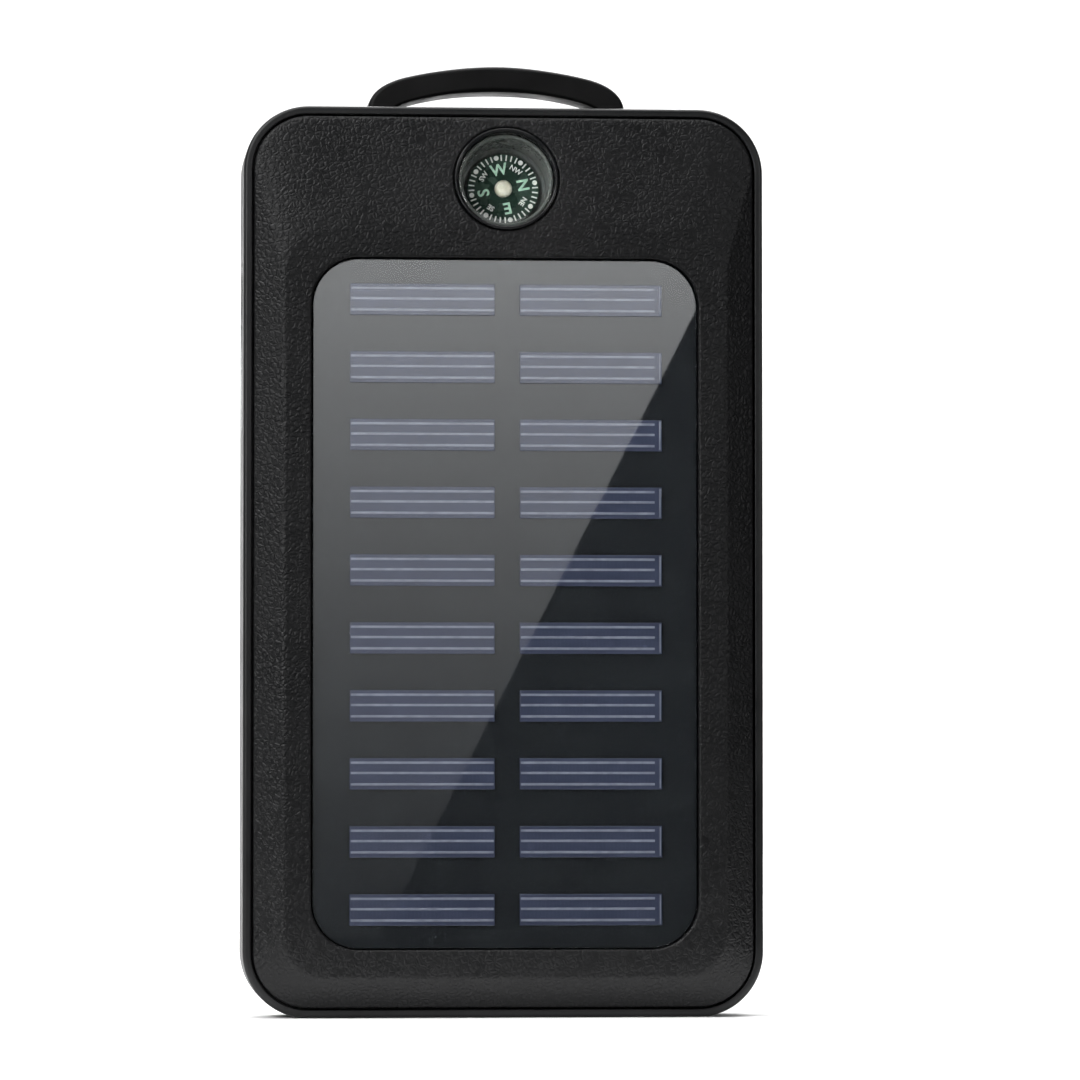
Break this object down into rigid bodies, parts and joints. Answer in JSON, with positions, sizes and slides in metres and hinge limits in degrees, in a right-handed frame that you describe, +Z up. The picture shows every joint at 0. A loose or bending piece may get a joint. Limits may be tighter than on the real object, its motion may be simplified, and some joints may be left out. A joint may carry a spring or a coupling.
{
  "type": "solar phone charger",
  "caption": "Pocket battery pack with a solar panel face, a compass, a carrying strap, a side power button, covered ports and a rear flood light.",
  "frame": {"origin": "middle of the bottom edge that the charger stands on, midway through its thickness", "axes": "+Z up from the bottom edge to the strap, +X to the right seen from the solar face, +Y towards the back; the solar face looks along -Y"},
  "size_m": [0.075, 0.0183, 0.1374],
  "materials": {
    "front_cover": "satin",
    "rear_shell": "satin",
    "perimeter_seal": "matte",
    "rear_screws": "satin",
    "carry_strap": "matte",
    "strap_pins": "satin",
    "panel_cover": "gloss",
    "cell_strings": "gloss",
    "panel_board": "satin",
    "adhesive_tape": "matte",
    "wire_red": "satin",
    "wire_black": "satin",
    "compass_bezel": "satin",
    "compass_lens": "gloss",
    "compass_cup": "gloss",
    "compass_card": "satin",
    "compass_magnet": "matte",
    "compass_pivot": "polished",
    "compass_cap": "satin",
    "circuit_board": "satin",
    "socket_shells": "satin",
    "socket_tongues": "satin",
    "power_inductor": "matte",
    "chips": "satin",
    "filter_capacitor": "satin",
    "tactile_switch": "satin",
    "switch_plunger": "satin",
    "power_button": "satin",
    "indicator_leds": "satin",
    "light_pipe": "satin",
    "battery_cells": "satin",
    "foam_pad": "matte",
    "port_cover": "matte",
    "flood_lens": "satin",
    "flood_reflector": "satin",
    "flood_led_board": "satin"
  },
  "bodies": {
    "case": {"front_cover": "front_cover", "rear_shell": "rear_shell", "perimeter_seal": "perimeter_seal", "rear_screw_1": "rear_screws", "rear_screw_2": "rear_screws", "rear_screw_3": "rear_screws", "rear_screw_4": "rear_screws", "rear_screw_5": "rear_screws", "rear_screw_6": "rear_screws", "carry_strap": "carry_strap", "strap_pin_left": "strap_pins", "strap_pin_right": "strap_pins", "panel_cover": "panel_cover", "cell_string_left": "cell_strings", "cell_string_right": "cell_strings", "panel_board": "panel_board", "panel_tape": "adhesive_tape", "panel_lead_positive": "wire_red", "panel_lead_negative": "wire_black", "compass_bezel": "compass_bezel", "compass_lens": "compass_lens", "compass_cup": "compass_cup", "compass_pivot": "compass_pivot", "main_board": "circuit_board", "usb_a_shell_upper": "socket_shells", "usb_a_shell_lower": "socket_shells", "usb_a_tongue_upper": "socket_tongues", "usb_a_tongue_lower": "socket_tongues", "usb_c_shell": "socket_shells", "usb_c_tongue": "tactile_switch", "power_inductor": "power_inductor", "charge_chip": "chips", "boost_chip": "chips", "filter_capacitor": "filter_capacitor", "tactile_switch": "tactile_switch", "indicator_led_1": "indicator_leds", "indicator_led_2": "indicator_leds", "indicator_led_3": "indicator_leds", "indicator_led_4": "indicator_leds", "indicator_light_pipe": "light_pipe", "battery_cell_front": "battery_cells", "battery_foam_pad": "foam_pad", "battery_cell_rear": "battery_cells", "protection_board": "circuit_board", "battery_lead_positive": "wire_red", "battery_lead_negative": "wire_black", "port_cover_anchor": "port_cover", "flood_lens": "flood_lens", "flood_reflector": "flood_reflector", "flood_led_board": "flood_led_board"},
    "compass_rose": {"compass_card": "compass_card", "compass_magnet": "compass_magnet", "compass_cap": "compass_cap"},
    "button": {"power_button": "power_button", "switch_plunger": "switch_plunger"},
    "flap": {"port_cover": "port_cover"}
  },
  "joints": [
    {"name": "compass_turn", "type": "hinge", "parent": "case", "child": "compass_rose", "pos_m": [0.0002, -0.00792, 0.1205], "axis": [0, -0.9893, 0.1457], "continuous": true},
    {"name": "button_press", "type": "slide", "parent": "case", "child": "button", "axis": [1, 0, 0], "range_m": [0, 0.0004], "stiffness_N_per_m": 1500},
    {"name": "flap_hinge", "type": "hinge", "parent": "case", "child": "flap", "pos_m": [0.0375, 0.0053, 0.1005], "axis": [0, 0, 1], "range_deg": [0, 120], "stiffness_Nm_per_rad": 0.0005}
  ]
}
